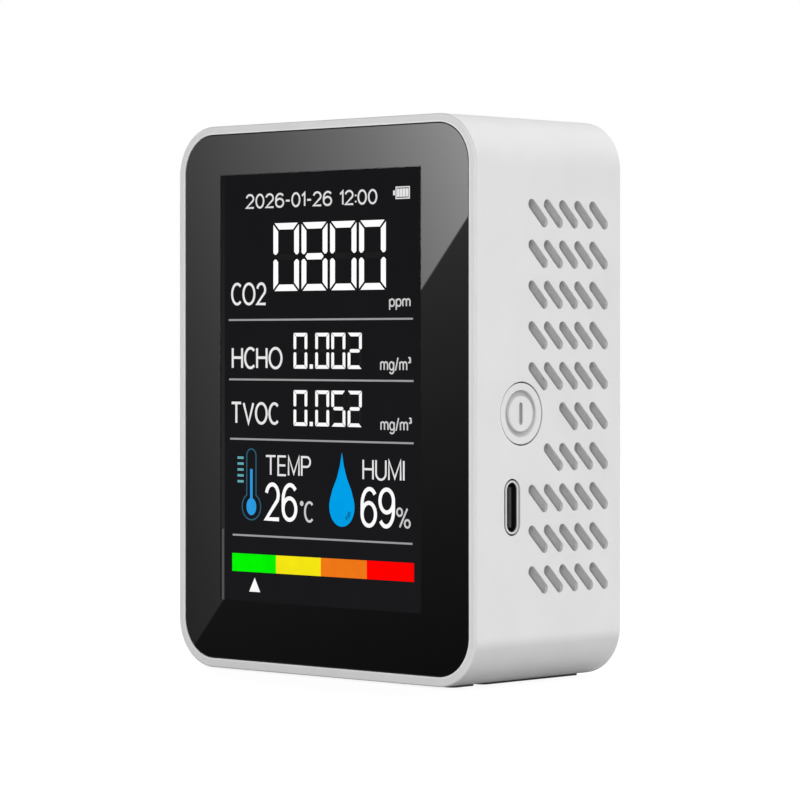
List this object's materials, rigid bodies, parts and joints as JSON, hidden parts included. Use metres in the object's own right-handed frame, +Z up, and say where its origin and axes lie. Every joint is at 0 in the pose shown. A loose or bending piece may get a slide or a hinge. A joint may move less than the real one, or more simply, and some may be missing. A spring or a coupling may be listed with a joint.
{
  "type": "air quality monitor",
  "caption": "Upright desktop air quality monitor with a full-face glass, segment display, vented sides, side button and charging port.",
  "frame": {"origin": "middle of the footprint, on the plane that the feet stand on", "axes": "+X to the right across the front, +Y from the front glass to the back, +Z up"},
  "size_m": [0.0706, 0.0372, 0.0954],
  "materials": {
    "white_shell": "satin, very fine moulded grain",
    "black_front_glass": "polished, black printed border around a clear window",
    "black_tape": "matt",
    "display_glass": "polished, dark",
    "light_guide": "polished",
    "white_frame": "satin",
    "plated_steel": "bright tin plating",
    "green_board": "solder mask",
    "black_chip": "matt moulded",
    "ferrite": "matt",
    "bare_aluminium": "satin",
    "gold_plating": "bright",
    "ivory_plastic": "satin",
    "gold_chamber": "satin gold",
    "white_membrane": "matt",
    "sensor_mesh": "woven mesh",
    "battery_foil": "dull foil",
    "amber_film": "polyimide film",
    "white_foam": "matt foam",
    "red_insulation": "satin",
    "black_insulation": "satin",
    "grey_filter": "fine felt",
    "dark_rubber": "matt",
    "silver_label": "satin film, blank",
    "screw_steel": "zinc plated"
  },
  "bodies": {
    "body": {"housing": "white_shell", "rear_cover": "white_shell", "front_lens": "black_front_glass", "lens_tape": "black_tape", "lcd_panel": "display_glass", "lcd_backlight": "light_guide", "lcd_frame": "white_frame", "lcd_pins": "plated_steel", "main_board": "green_board", "microcontroller": "black_chip", "microcontroller_pins": "plated_steel", "charger_chip": "black_chip", "charger_chip_pins": "plated_steel", "power_inductor": "ferrite", "capacitors": "bare_aluminium", "crystal": "bare_aluminium", "resistors": "black_chip", "usb_shell": "plated_steel", "usb_insulator": "black_chip", "usb_contacts": "gold_plating", "switch_body": "black_chip", "co2_sensor_board": "green_board", "co2_sensor_chamber": "gold_chamber", "co2_sensor_membranes": "white_membrane", "co2_sensor_pins": "gold_plating", "formaldehyde_sensor": "ivory_plastic", "formaldehyde_sensor_cap": "plated_steel", "voc_sensor": "plated_steel", "voc_sensor_mesh": "sensor_mesh", "humidity_sensor": "black_chip", "battery": "battery_foil", "battery_protection_board": "amber_film", "battery_pad": "white_foam", "battery_lead_red": "red_insulation", "battery_lead_black": "black_insulation", "battery_plug": "ivory_plastic", "battery_socket": "ivory_plastic", "right_dust_filter": "grey_filter", "left_dust_filter": "grey_filter", "front_feet": "dark_rubber", "rear_feet": "dark_rubber", "rear_label": "silver_label", "board_screws": "screw_steel", "cover_screws": "screw_steel"},
    "button": {"button_cap": "white_shell"},
    "plunger": {"switch_plunger": "ivory_plastic"}
  },
  "joints": [
    {"name": "button_press", "type": "slide", "parent": "body", "child": "button", "axis": [-1, 0, 0], "range_m": [0, 0.0003]},
    {"name": "switch_press", "type": "slide", "parent": "body", "child": "plunger", "axis": [-1, 0, 0], "range_m": [0, 0.0003]}
  ],
  "couplings": [
    {"joint": "switch_press", "follows": "button_press", "ratio": 1}
  ]
}
